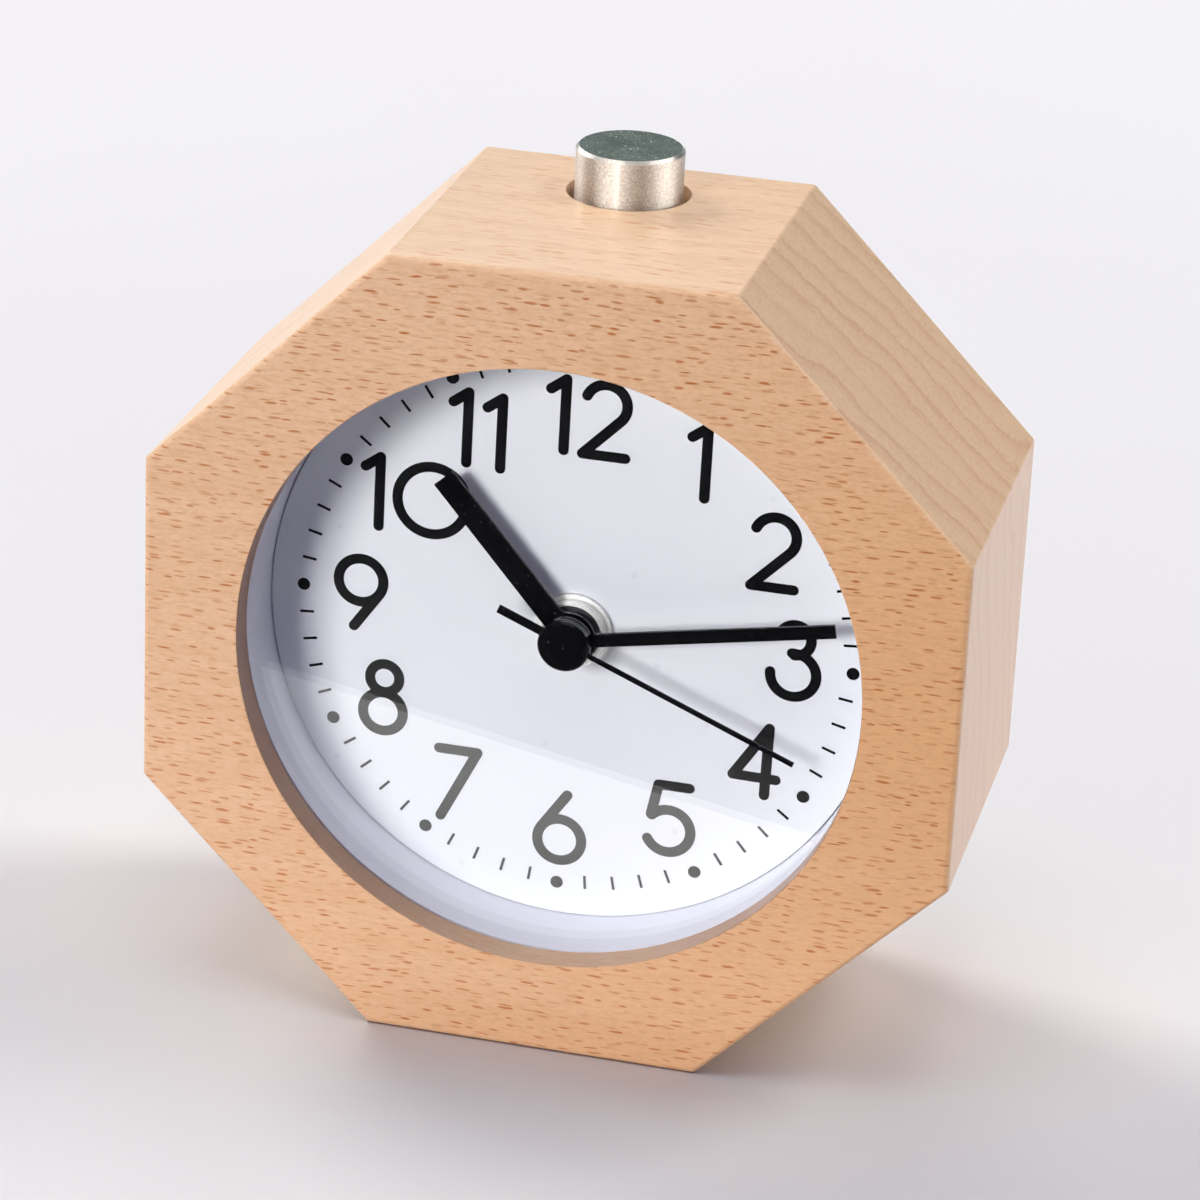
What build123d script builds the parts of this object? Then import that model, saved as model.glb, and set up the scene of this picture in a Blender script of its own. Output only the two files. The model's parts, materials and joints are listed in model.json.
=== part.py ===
from build123d import *
import os
from math import cos, hypot, pi, radians, sin, sqrt

# Lengths are millimetres. Pieces are drawn as seen from the front: X to the right, Y up,
# depths counted backwards from the front face of the case. The last step stands them up.

# Wooden case, a regular octagon on one of its flats
case_sides = 8
case_wall = 8.0
ridge_radius = 0.6
rim_radius = 0.7
window_edge_radius = 0.15
lip_depth = 3.55
lip_width = 2.6
bore_clearance = 0.3
cut_margin = 1.0

# Fits between pieces
running_gap = 0.06
press_gap = 0.02
loose_gap = 0.3

# Lens, inner housing and dial
lens_thickness = 1.6
ring_wall = 2.0
dial_thickness = 0.8
dial_clearance = 0.1
floor_thickness = 1.0
skirt_wall = 1.5
skirt_notch_gap = 1.5

# Centre bush, nut and washer
bush_radius = 3.2
bush_clearance = 0.1
nut_radius = 4.2
nut_height = 1.6
nut_flange_height = 0.6
nut_step = 0.45
nut_chamfer = 0.25
washer_radius = 7.0
washer_thickness = 0.5

# Hands, with their angles clockwise from twelve
hand_thickness = 0.4
hand_gap = 0.3
hour_angle = 318.8
hour_length = 22.2
hour_width = 2.7
hour_hub_radius = 3.0
minute_angle = 79.5
minute_length = 29.9
minute_width = 1.5
minute_hub_radius = 2.85
minute_gap = 0.6
second_angle = 112.1
second_length = 27.9
second_width = 0.55
second_tail_length = 8.2
second_tail_width = 0.95
second_thickness = 0.25
second_cap_radius = 2.9
second_cap_height = 0.9
second_cap_chamfer = 0.2
second_gap = 0.35
second_lens_gap = 3.35
alarm_length = 15.0
alarm_width = 1.2
alarm_hub_radius = 2.6
sleeve_wall = 0.5
sleeve_length = 0.25

# Coaxial tubes, from the seconds arbor outwards
second_arbor_radius = 0.4
minute_tube_radius = 0.85
hour_tube_radius = 1.35
alarm_tube_radius = 1.9

# Teeth, as shares of the module and of the tooth pitch
addendum_share = 0.85
dedendum_share = 1.15
tooth_root_share = 0.24
tooth_tip_share = 0.09

# Running train, from the rotor to the centre wheel
rotor_teeth = 6
fifth_teeth = 36
fifth_pinion_teeth = 6
second_teeth = 30
second_pinion_teeth = 6
third_teeth = 45
third_pinion_teeth = 6
centre_teeth = 48
rotor_module = 0.2
fifth_module = 0.25
centre_module = 0.25
third_direction = 90.0
fifth_direction = 210.0
rotor_direction = 180.0
arbor_radius = 0.4
fine_arbor_radius = 0.3
pivot_depth = 0.6

# Motion work and setting wheels
cannon_teeth = 10
minute_work_teeth = 30
minute_work_pinion_teeth = 8
hour_teeth = 32
time_set_teeth = 20
motion_module = 0.3
minute_work_direction = 30.0
minute_work_post_radius = 0.6
alarm_teeth = 24
alarm_set_teeth = 42
alarm_module = 0.4
alarm_set_direction = 150.0
set_arbor_radius = 0.8

# Depths of the wheels in the movement
layer_gap = 0.3
pinion_overlap = 0.15
motion_wheel_thickness = 0.8
train_wheel_thickness = 0.6
cannon_length = 1.8
cannon_boss_radius = 1.0
second_pinion_length = 1.8
clutch_height = 0.7
clutch_gap = 0.1
clutch_radius = 2.4
clutch_thickness = 0.2
crossing_count = 4
crossing_radius = 1.3
crossing_place_share = 0.62

# Stepping motor
magnet_radius = 1.9
magnet_length = 1.7
stator_air_gap = 0.5
stator_ring_width = 1.0
stator_arm_width = 2.2
stator_thickness = 0.8
stator_pin_radius = 0.6
stator_pad_radius = 1.6
coil_x = -19.0
coil_high_y = 6.2
coil_end_length = 1.8
coil_flange_radius = 2.5
coil_flange_thickness = 0.5
coil_winding_radius = 2.2
coil_tube_radius = 1.2
core_width = 1.6

# Plates and posts of the movement
movement_wall = 1.2
middle_plate_thickness = 0.8
bridge_thickness = 1.0
plate_pad_radius = 2.4
lower_post_x = 8.5
right_post_place = (8.0, 14.0)
left_post_place = (-8.0, 17.5)
post_radius = 1.4
post_upper_radius = 1.1
post_pin_radius = 0.8
post_stake_height = 0.3
leaf_thickness = 0.2
leaf_gap = 0.2
leaf_width = 2.4
leaf_boss_radius = 2.2
leaf_reach_share = 0.62

# Circuit board and what it carries
board_gap = 0.8
board_thickness = 1.0
board_room = 2.8
board_low_y = 2.5
board_margin = 0.3
board_boss_places = ((-20.0, 18.0), (22.5, 5.0), (-22.5, 5.0))
board_boss_radius = 1.5
board_top_drop = 3.5
crystal_length = 6.0
crystal_width = 2.0
crystal_height = 1.6
crystal_corner = 0.6
chip_radius = 2.4
chip_height = 1.0
chip_fillet = 0.6
buzzer_x = 14.5
buzzer_radius = 6.4
buzzer_height = 2.5
buzzer_port_radius = 2.0
buzzer_fillet = 0.4

# Alarm switch
switch_knob_gap = 1.2
switch_body_width = 9.0
switch_body_height = 4.0
switch_body_length = 2.4
switch_travel = 4.0
switch_stem_width = 2.0
switch_stem_height = 1.6
switch_pad_width = 3.6
switch_pad_height = 4.6
switch_pad_length = 1.6
switch_pad_fillet = 0.4

# Battery, its bay and contacts
battery_radius = 7.25
battery_length = 50.5
battery_nub_radius = 2.75
battery_nub_length = 1.0
battery_edge_radius = 0.6
battery_clearance = 0.25
bay_corner_wall = 0.61
contact_thickness = 0.4
contact_slack = 0.1
contact_bow = 2.2
contact_bow_half = 4.0
contact_width = 6.0
contact_height = 11.0
contact_tail_width = 3.0
contact_tail_top = 6.0

# Back cover and battery door
cover_thickness = 2.0
cover_recess = 0.6
cover_seat_width = 5.0
cover_rim_height = 1.1
cover_screw_count = 4
screw_head_radius = 1.9
screw_head_height = 0.9
screw_head_sink = 1.1
screw_shank_radius = 1.0
screw_shank_length = 7.0
screw_slot_width = 0.5
screw_slot_depth = 0.5
sound_slot_count = 5
sound_slot_length = 9.0
sound_slot_width = 1.2
sound_slot_spacing = 2.4
door_margin = 0.9
door_gap = 0.2
door_pin_radius = 0.55
door_pin_length = 1.2
latch_width = 12.0
latch_length = 5.0
latch_slit = 0.7
latch_grip_count = 3
latch_grip_depth = 0.5
latch_grip_width = 0.6
latch_grip_spacing = 1.2

# Setting knobs
knob_radius = 4.8
knob_height = 5.0
knob_gap = 0.5
knob_flutes = 16
knob_flute_radius = 0.6
knob_chamfer = 0.5
knob_bore_depth = 3.5

# Snooze button on the top flat
button_hole_margin = 1.05
button_radius = 5.95
button_hole_radius = 6.85
button_proud = 5.2
button_hang = 2.2
button_wall = 0.8
button_chamfer = 0.35
button_travel = 1.5
plug_thickness = 3.0
stem_radius = 2.0
stem_groove_depth = 0.4
stem_tip_length = 0.6
clip_radius = 3.4
clip_thickness = 0.8
clip_mouth_width = 2.0
bracket_width = 15.0
bracket_depth = 9.0
bracket_wall = 1.2
bracket_plate = 1.4
bracket_drop = 2.6
switch_board_width = 11.0
switch_board_thickness = 1.0
snooze_body_width = 6.0
snooze_body_height = 3.6
snooze_plunger_radius = 1.7
snooze_plunger_height = 1.4
snooze_touch_gap = 0.1
spring_radius = 3.3
spring_wire_radius = 0.25
spring_turns = 5
spring_end_gap = 0.02
arcs_per_turn = 4
spring_least_gap = 0.4

# The hands stack up from the lens to the nut and set the depth of the dial
lens_back = lip_depth + lens_thickness
second_cap_depth = lens_back + second_lens_gap
second_blade_depth = second_cap_depth + second_cap_height
minute_hand_depth = second_blade_depth + second_thickness + second_gap
hour_hand_depth = minute_hand_depth + hand_thickness + minute_gap
alarm_hand_depth = hour_hand_depth + hand_thickness + hand_gap
nut_front = alarm_hand_depth + hand_thickness + hand_gap
dial_depth = nut_front + nut_height
dial_back = dial_depth + dial_thickness
floor_back = dial_back + floor_thickness
plate_front = floor_back + washer_thickness
plate_back = plate_front + movement_wall

# Wheel depths, one layer after another from the front plate backwards
alarm_front = plate_back + layer_gap
alarm_back = alarm_front + motion_wheel_thickness
hour_front = alarm_back + 2 * layer_gap
hour_back = hour_front + motion_wheel_thickness
leaf_front = hour_back + leaf_gap
cannon_front = hour_back + 2 * layer_gap
cannon_back = cannon_front + cannon_length
minute_work_front = cannon_front + layer_gap
minute_work_back = minute_work_front + motion_wheel_thickness
centre_front = cannon_back + clutch_height + 2 * clutch_gap
centre_back = centre_front + train_wheel_thickness
middle_front = centre_back + 2 * layer_gap
middle_back = middle_front + middle_plate_thickness
second_front = middle_back + layer_gap
second_back = second_front + train_wheel_thickness
second_pinion_back = second_back + second_pinion_length
third_front = second_back + 2 * layer_gap
third_back = third_front + train_wheel_thickness
fifth_front = second_pinion_back + layer_gap
fifth_back = fifth_front + train_wheel_thickness
bridge_front = fifth_back + 2 * layer_gap
bridge_back = bridge_front + bridge_thickness
stator_front = third_front
stator_back = stator_front + stator_thickness
core_back = stator_back + stator_thickness
board_front = bridge_back + board_gap
board_back = board_front + board_thickness
wall_front = board_back + board_room
movement_back = wall_front + movement_wall

# The back cover closes the case behind the movement
skirt_back = movement_back
cover_front = skirt_back + cover_rim_height
cover_back = cover_front + cover_thickness
case_depth = cover_back + cover_recess

# Gear centres: the two meshes of a train that share both axes set each other's module
third_distance = centre_module * (third_pinion_teeth + centre_teeth) / 2
second_pinion_module = 2 * third_distance / (second_pinion_teeth + third_teeth)
fifth_distance = fifth_module * (fifth_pinion_teeth + second_teeth) / 2
rotor_distance = rotor_module * (rotor_teeth + fifth_teeth) / 2
minute_work_distance = motion_module * (cannon_teeth + minute_work_teeth) / 2
hour_module = 2 * minute_work_distance / (minute_work_pinion_teeth + hour_teeth)
time_set_distance = motion_module * (minute_work_teeth + time_set_teeth) / 2
alarm_set_distance = alarm_module * (alarm_teeth + alarm_set_teeth) / 2

# The battery bay lies just under the centre wheel
centre_tip_radius = centre_module * (centre_teeth / 2 + addendum_share)
bay_high = -centre_tip_radius - loose_gap - movement_wall
battery_y = bay_high - battery_clearance - battery_radius
bay_low = battery_y - battery_radius - battery_clearance
bay_half = (battery_length + contact_bow) / 2 + contact_thickness + contact_slack
battery_x = contact_bow / 2
battery_depth = movement_back - battery_clearance - battery_radius
bay_front = battery_depth - battery_radius - battery_clearance

# The corner of the cell sets the bore, and the bore sets the case
cell_corner_radius = hypot(battery_x + battery_length / 2 - battery_nub_length, bay_low)
bay_limit = cell_corner_radius + battery_clearance
movement_limit = bay_limit + bay_corner_wall
skirt_radius = movement_limit + loose_gap
insert_radius = skirt_radius + skirt_wall
bore_radius = insert_radius + bore_clearance
case_half = bore_radius + case_wall
window_radius = bore_radius - lip_width
cover_seat_radius = bore_radius + cover_seat_width
cover_screw_radius = bore_radius + cover_seat_width / 2

# Button stack, heights above the centre of the dial
button_depth = cover_front - button_hole_radius - button_hole_margin
button_top = case_half + button_proud
button_low = bore_radius + button_hang
plug_high = button_top - button_wall
plug_low = plug_high - plug_thickness
bracket_top = bore_radius - bracket_drop
bracket_plate_low = bracket_top - bracket_plate
clip_low = bracket_plate_low - clip_thickness
stem_low = clip_low - stem_tip_length
snooze_plunger_top = stem_low - button_travel - snooze_touch_gap
snooze_body_top = snooze_plunger_top - snooze_plunger_height
switch_board_top = snooze_body_top - snooze_body_height
movement_top = switch_board_top - switch_board_thickness

# Outline of the movement and of what it carries
movement_half = bay_half + movement_wall
movement_low = bay_low - movement_wall
board_high_y = movement_top - movement_wall - board_margin
buzzer_place = (buzzer_x, board_high_y - buzzer_radius - board_margin)
chip_x = -switch_body_width / 2 - board_margin - chip_radius
crystal_x = chip_x - chip_radius - board_margin - crystal_length / 2
crystal_place = (crystal_x, board_high_y - board_top_drop)
chip_place = (chip_x, board_high_y - board_top_drop)
plate_low_y = bay_high + movement_wall + loose_gap + plate_pad_radius
post_places = ((lower_post_x, plate_low_y), right_post_place, left_post_place)
coil_low_y = plate_low_y
stator_ends = ((coil_x, coil_low_y), (coil_x, coil_high_y))

# Battery door, hinged on its lower edge
door_width = battery_length + door_margin
door_height = 2 * (battery_radius + battery_clearance)
door_opening_width = door_width + 2 * door_gap
door_opening_height = door_height + 2 * door_gap
door_hinge_y = battery_y - door_height / 2 + cover_thickness / 2
door_hinge_depth = cover_front + cover_thickness / 2


def polar(distance, direction, start=(0, 0)):
    """A point a distance away from a start, in a direction counted from X."""
    angle = radians(direction)
    return (start[0] + distance * cos(angle), start[1] + distance * sin(angle))


third_place = polar(third_distance, third_direction)
fifth_place = polar(fifth_distance, fifth_direction)
rotor_place = polar(rotor_distance, rotor_direction, fifth_place)
minute_work_place = polar(minute_work_distance, minute_work_direction)
time_set_place = polar(time_set_distance, minute_work_direction, minute_work_place)
alarm_set_place = polar(alarm_set_distance, alarm_set_direction)
switch_y = time_set_place[1] + knob_radius + switch_knob_gap + switch_pad_height / 2


def layer(outline, front, back):
    """A flat piece between two depths."""
    return extrude(Pos(0, 0, -back) * outline, amount=back - front)


def disc(place, radius):
    return Pos(*place) * Circle(radius)


def rod(place, radius, front, back):
    return layer(disc(place, radius), front, back)


def upright(outline, low, high):
    """A piece drawn in plan, X to the right and depth away, between two heights."""
    plan = Plane(origin=(0, low, 0), x_dir=(1, 0, 0), z_dir=(0, 1, 0))
    return extrude(plan * outline, amount=high - low)


def bar(start, end, width):
    """A bar with round ends between two points."""
    length = hypot(end[0] - start[0], end[1] - start[1])
    along = Edge.make_line((*start, 0), (*end, 0))
    middle = along.position_at(0.5)
    turn = Vector(1, 0, 0).get_signed_angle(along.tangent_at(0), Vector(0, 0, 1))
    return Pos(middle.X, middle.Y) * Rot(0, 0, turn) * SlotCenterToCenter(length, width)


def pads_outline(places, radius):
    """The outline stretched round equal pads at the given places."""
    edges = [edge for place in places for edge in disc(place, radius).edges()]
    return make_hull(edges)


def between(low_x, low_y, high_x, high_y):
    """A rectangle from its corners."""
    centre = Pos((low_x + high_x) / 2, (low_y + high_y) / 2)
    return centre * Rectangle(high_x - low_x, high_y - low_y)


def tip_radius(teeth, module):
    return module * (teeth / 2 + addendum_share)


def gear(teeth, module, phase):
    """Toothed outline with straight flanks; one tooth points in the phase direction."""
    root = module * (teeth / 2 - dedendum_share)
    tip = tip_radius(teeth, module)
    pitch = 360 / teeth
    points = []
    for tooth in range(teeth):
        centre = phase + pitch * tooth
        points.append(polar(root, centre - pitch * tooth_root_share))
        points.append(polar(tip, centre - pitch * tooth_tip_share))
        points.append(polar(tip, centre + pitch * tooth_tip_share))
        points.append(polar(root, centre + pitch * tooth_root_share))
    return make_face(Polyline(*points, close=True))


def mesh_phase(driver_teeth, driver_phase, teeth, direction):
    """Phase that puts a gap on the driver's tooth, the gear lying in a direction from it."""
    share = driver_teeth / teeth
    return direction + 180 - (driver_phase - direction) * share + 180 / teeth


def crossed(outline, radius):
    """A wheel lightened by round holes."""
    place = radius * crossing_place_share
    holes = [polar(place, 360 * hole / crossing_count) for hole in range(crossing_count)]
    return outline - [disc(hole, crossing_radius) for hole in holes]


def hand_outline(length, width, hub_radius, bore_radius):
    blade = between(-width / 2, 0, width / 2, length)
    return blade + Circle(hub_radius) - Circle(bore_radius)


def movement_outline(inset):
    """Outline of the movement's case, clipped by the round housing it sits in."""
    half = movement_half - inset
    block = between(-half, movement_low + inset, half, movement_top - inset)
    return block & Circle(movement_limit - inset)


def wooden_case():
    octagon = RegularPolygon(case_half, case_sides, major_radius=False, rotation=180 / case_sides)
    block = layer(octagon, 0, case_depth)
    block = fillet(block.edges().filter_by(Axis.Z), ridge_radius)
    rims = block.faces().filter_by(Axis.Z).edges()
    block = fillet(rims, rim_radius)
    block -= rod((0, 0), window_radius, -cut_margin, lip_depth + cut_margin)
    block -= rod((0, 0), bore_radius, lip_depth, case_depth + cut_margin)
    block -= rod((0, 0), cover_seat_radius, cover_front, case_depth + cut_margin)
    hole = disc((0, button_depth), button_hole_radius)
    block -= upright(hole, bore_radius - button_hole_radius, case_half + cut_margin)
    pilot = screw_shank_radius + press_gap
    pilot_back = cover_front - screw_shank_length
    for place in screw_places():
        block -= rod(place, pilot, pilot_back, cover_front + cut_margin)
    edge = block.edges().filter_by(GeomType.CIRCLE).group_by(Axis.Z)[-1]
    return fillet([rim for rim in edge if abs(rim.radius - window_radius) < cut_margin], window_edge_radius)


def screw_places():
    step = 360 / cover_screw_count
    return [polar(cover_screw_radius, step * (screw + 0.5)) for screw in range(cover_screw_count)]


def glass_lens():
    return rod((0, 0), insert_radius, lip_depth, lens_back)


def inner_housing():
    wall = rod((0, 0), insert_radius, lens_back, skirt_back)
    front = rod((0, 0), insert_radius - ring_wall, lens_back - cut_margin, dial_back)
    rear = rod((0, 0), skirt_radius, floor_back, skirt_back + cut_margin)
    eye = rod((0, 0), bush_radius + bush_clearance, dial_back - cut_margin, floor_back + cut_margin)
    half = bracket_width / 2 + skirt_notch_gap
    notch = between(-half, 0, half, bore_radius + cut_margin)
    opening = layer(notch, button_depth - button_hole_radius, skirt_back + cut_margin)
    return wall - front - rear - eye - opening


def dial():
    face = Circle(insert_radius - ring_wall - dial_clearance) - Circle(bush_radius + bush_clearance)
    return layer(face, dial_depth, dial_back)


def centre_nut():
    flange = rod((0, 0), nut_radius, dial_depth - nut_flange_height, dial_depth)
    collar = rod((0, 0), nut_radius - nut_step, nut_front, dial_depth)
    rim = collar.edges().group_by(Axis.Z)[-1]
    collar = chamfer(rim, nut_chamfer)
    bore = rod((0, 0), bush_radius + running_gap, nut_front - cut_margin, dial_depth + cut_margin)
    return flange + collar - bore


def rubber_washer():
    ring = Circle(washer_radius) - Circle(bush_radius + bush_clearance)
    return layer(ring, floor_back, plate_front)


def post(place, base_radius):
    """Stepped post that carries the middle plate and the bridge."""
    foot = rod(place, base_radius, plate_back, leaf_front)
    lower = rod(place, post_radius, plate_back, middle_front)
    upper = rod(place, post_upper_radius, plate_back, bridge_front)
    pin = rod(place, post_pin_radius, plate_back, bridge_back + post_stake_height)
    return foot + lower + upper + pin


def movement_front_case():
    plate = layer(movement_outline(0), plate_front, plate_back)
    plate += rod((0, 0), bush_radius, nut_front, plate_back)
    for number, place in enumerate(post_places):
        plate += post(place, leaf_boss_radius if number == 0 else post_radius)
    plate += rod(minute_work_place, minute_work_post_radius, plate_back, minute_work_back + layer_gap)
    bore = alarm_tube_radius + running_gap
    plate -= rod((0, 0), bore, nut_front - cut_margin, plate_back + cut_margin)
    pivot_front = plate_back - pivot_depth
    for place, radius in ((third_place, arbor_radius), (time_set_place, set_arbor_radius),
                          (alarm_set_place, set_arbor_radius)):
        plate -= rod(place, radius + running_gap, pivot_front, plate_back + cut_margin)
    return plate


def movement_rear_case():
    shell = layer(movement_outline(0), plate_back, movement_back)
    inside = movement_outline(movement_wall)
    half = movement_half
    train_room = inside & between(-half, bay_high + movement_wall, half, movement_top)
    shell -= layer(train_room, plate_back - cut_margin, wall_front)
    hollow = inside & between(-half, movement_low, half, bay_high)
    shell -= layer(hollow, plate_back - cut_margin, bay_front - movement_wall)
    bay = between(-bay_half, bay_low, bay_half, bay_high) & Circle(bay_limit)
    shell -= layer(bay, bay_front, movement_back + cut_margin)
    slot_half = contact_thickness + contact_slack
    for side in (-1, 1):
        middle = side * (bay_half - slot_half / 2 - contact_slack / 2)
        slot = between(middle - slot_half, bay_high - cut_margin, middle + slot_half,
                       bay_high + movement_wall + cut_margin)
        shell -= layer(slot, battery_depth - contact_tail_width, battery_depth + contact_tail_width)
    for place in board_boss_places:
        shell += rod(place, board_boss_radius, board_back, wall_front + movement_wall / 2)
    for place in (time_set_place, alarm_set_place):
        bearing = set_arbor_radius + running_gap
        shell -= rod(place, bearing, wall_front - cut_margin, movement_back + cut_margin)
    shell -= rod(buzzer_place, buzzer_port_radius, wall_front - cut_margin, movement_back + cut_margin)
    shell -= layer(switch_slot(), wall_front - cut_margin, movement_back + cut_margin)
    return shell


def switch_slot():
    """Slot for the stem of the alarm switch over its whole travel."""
    width = switch_stem_width + switch_travel + 2 * loose_gap
    return Pos(0, switch_y) * Rectangle(width, switch_stem_height + 2 * loose_gap)


def arbor_holes(places):
    return [disc(place, radius + gap) for place, radius, gap in places]


def middle_plate():
    outline = pads_outline((*post_places, *stator_ends), plate_pad_radius)
    holes = [(place, post_upper_radius, running_gap) for place in post_places]
    holes += [((0, 0), second_arbor_radius, loose_gap), (third_place, arbor_radius, loose_gap)]
    holes += [(fifth_place, fine_arbor_radius, running_gap), (rotor_place, fine_arbor_radius, running_gap)]
    holes += [(time_set_place, set_arbor_radius, loose_gap), (alarm_set_place, set_arbor_radius, loose_gap)]
    plate = layer(outline - arbor_holes(holes), middle_front, middle_back)
    for end in stator_ends:
        plate += rod(end, stator_pad_radius, middle_back, stator_front)
        plate += rod(end, stator_pin_radius, middle_back, core_back + post_stake_height)
    return plate


def train_bridge():
    outline = pads_outline((*post_places, rotor_place), plate_pad_radius)
    holes = [(place, post_pin_radius, running_gap) for place in post_places]
    holes += [((0, 0), second_arbor_radius, running_gap), (third_place, arbor_radius, running_gap)]
    holes += [(fifth_place, fine_arbor_radius, running_gap), (rotor_place, fine_arbor_radius, running_gap)]
    holes += [(time_set_place, set_arbor_radius, loose_gap), (alarm_set_place, set_arbor_radius, loose_gap)]
    return layer(outline - arbor_holes(holes), bridge_front, bridge_back)


def alarm_leaf():
    start = post_places[0]
    end = (start[0] * (1 - leaf_reach_share), start[1] * (1 - leaf_reach_share))
    strip = bar(start, end, leaf_width) + disc(start, leaf_boss_radius)
    return layer(strip - disc(start, post_radius + press_gap), leaf_front, leaf_front + leaf_thickness)


def stator():
    hole = magnet_radius + stator_air_gap
    plate = disc(rotor_place, hole + stator_ring_width)
    elbow_x = coil_x + coil_flange_radius + stator_arm_width
    for end in stator_ends:
        elbow = (elbow_x, end[1])
        plate += bar(rotor_place, elbow, stator_arm_width)
        plate += bar(elbow, end, stator_arm_width)
    plate -= disc(rotor_place, hole)
    plate -= [disc(end, stator_pin_radius + press_gap) for end in stator_ends]
    return layer(plate, stator_front, stator_back)


def coil_core():
    strip = between(coil_x - core_width / 2, coil_low_y, coil_x + core_width / 2, coil_high_y)
    strip += [disc(end, stator_pad_radius) for end in stator_ends]
    strip -= [disc(end, stator_pin_radius + press_gap) for end in stator_ends]
    return layer(strip, stator_back, core_back)


def coil_ring(radius, inner, low, high):
    """A ring round the core of the coil between two heights."""
    centre = (coil_x, stator_back + stator_thickness / 2)
    return upright(disc(centre, radius) - disc(centre, inner), low, high)


def coil_bobbin():
    low = coil_low_y + coil_end_length
    high = coil_high_y - coil_end_length
    inner = hypot(core_width, stator_thickness) / 2 + press_gap
    bobbin = coil_ring(coil_tube_radius, inner, low, high)
    bobbin += coil_ring(coil_flange_radius, inner, low, low + coil_flange_thickness)
    return bobbin + coil_ring(coil_flange_radius, inner, high - coil_flange_thickness, high)


def coil_winding():
    low = coil_low_y + coil_end_length + coil_flange_thickness
    high = coil_high_y - coil_end_length - coil_flange_thickness
    return coil_ring(coil_winding_radius, coil_tube_radius + press_gap, low, high)


def circuit_board():
    half = bay_half - contact_thickness - contact_slack - board_margin
    outline = between(-half, board_low_y, half, board_high_y)
    outline &= Circle(movement_limit - movement_wall - board_margin)
    for place in (time_set_place, alarm_set_place):
        outline -= disc(place, set_arbor_radius + loose_gap)
    return layer(outline, board_front, board_back)


def quartz_crystal():
    can = Pos(*crystal_place) * RectangleRounded(crystal_length, crystal_width, crystal_corner)
    return layer(can, board_back, board_back + crystal_height)


def clock_chip():
    blob = rod(chip_place, chip_radius, board_back, board_back + chip_height)
    return fillet(blob.edges().group_by(Axis.Z)[0], chip_fillet)


def buzzer():
    can = rod(buzzer_place, buzzer_radius, board_back, board_back + buzzer_height)
    can = fillet(can.edges().group_by(Axis.Z)[0], buzzer_fillet)
    middle = board_back + buzzer_height / 2
    return can - rod(buzzer_place, buzzer_port_radius, middle, board_back + buzzer_height + cut_margin)


def alarm_switch_body():
    body = Pos(0, switch_y) * Rectangle(switch_body_width, switch_body_height)
    return layer(body, board_back, board_back + switch_body_length)


def alarm_switch_slider():
    place = Pos(-switch_travel / 2, switch_y)
    stem = place * Rectangle(switch_stem_width, switch_stem_height)
    pad_front = cover_back + loose_gap
    slider = layer(stem, board_back + switch_body_length, pad_front)
    thumb = place * Rectangle(switch_pad_width, switch_pad_height)
    pad = layer(thumb, pad_front, pad_front + switch_pad_length)
    return slider + fillet(pad.edges().group_by(Axis.Z)[0], switch_pad_fillet)


def battery_cell():
    profile_plane = Plane(origin=(battery_x, battery_y, -battery_depth), x_dir=(1, 0, 0), z_dir=(0, 0, 1))
    half = battery_length / 2
    body = between(-half, 0, half - battery_nub_length, battery_radius)
    body = fillet(body.vertices().group_by(Axis.Y)[-1], battery_edge_radius)
    nub = between(0, 0, half, battery_nub_radius)
    axis = Axis((battery_x, battery_y, -battery_depth), (1, 0, 0))
    return revolve(profile_plane * (body + nub), axis)


def contact(side):
    """End plate of the bay with a tail up to the circuit board."""
    outer = side * (bay_half - contact_slack)
    inner = side * (bay_half - contact_slack - contact_thickness)
    low, high = min(outer, inner), max(outer, inner)
    plate = between(low, battery_y - contact_height / 2, high, battery_y + contact_height / 2)
    half = contact_width / 2
    piece = layer(plate, battery_depth - half, battery_depth + half)
    tail = between(low, battery_y, high, contact_tail_top)
    tail_half = contact_tail_width / 2
    piece += layer(tail, battery_depth - tail_half, battery_depth + tail_half)
    foot = between(low, board_low_y, high, contact_tail_top)
    return piece + layer(foot, battery_depth - tail_half, board_back)


def battery_contact_positive():
    return contact(1)


def battery_contact_negative():
    root = -bay_half + contact_slack + contact_thickness
    crown = root + contact_bow - press_gap
    low = (root, battery_y - contact_bow_half)
    high = (root, battery_y + contact_bow_half)
    outer = ThreePointArc(low, (crown, battery_y), high)
    thin = contact_thickness
    inner = ThreePointArc((root, high[1] - thin), (crown - thin, battery_y), (root, low[1] + thin))
    bow = outer + Line(high, (root, high[1] - thin)) + inner + Line((root, low[1] + thin), low)
    half = contact_width / 2
    return contact(-1) + layer(make_face(bow), battery_depth - half, battery_depth + half)


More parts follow.
